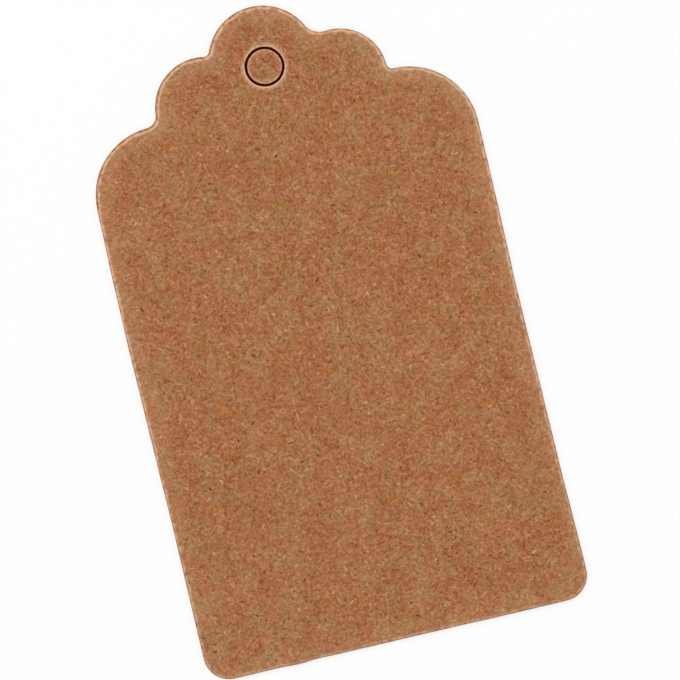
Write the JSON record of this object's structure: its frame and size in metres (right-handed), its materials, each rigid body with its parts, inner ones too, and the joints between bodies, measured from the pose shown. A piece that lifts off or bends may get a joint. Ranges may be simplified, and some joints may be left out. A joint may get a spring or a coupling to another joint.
{
  "type": "gift tag",
  "caption": "Flat kraft-board gift tag with a scalloped end, rounded corners and a round string hole whose die-cut plug is still in place and pushes out.",
  "frame": {"origin": "middle of the card's back: halfway across its width and halfway along its length, on the back face", "axes": "+X across the card to its right as the face is seen with the scalloped end up, +Y from the plain end to the crown, +Z out of the face"},
  "size_m": [0.03, 0.05, 0.0004],
  "materials": {
    "kraft_board": "uncoated recycled kraft board, matt, mottled, with visible fibres",
    "plug_board": "the same uncoated kraft board"
  },
  "bodies": {
    "card": {"tag_card": "kraft_board"},
    "plug": {"hole_plug": "plug_board"}
  },
  "joints": [
    {"name": "plug_push_out", "type": "slide", "parent": "card", "child": "plug", "axis": [0, 0, 1], "range_m": [0, 0.005]}
  ]
}
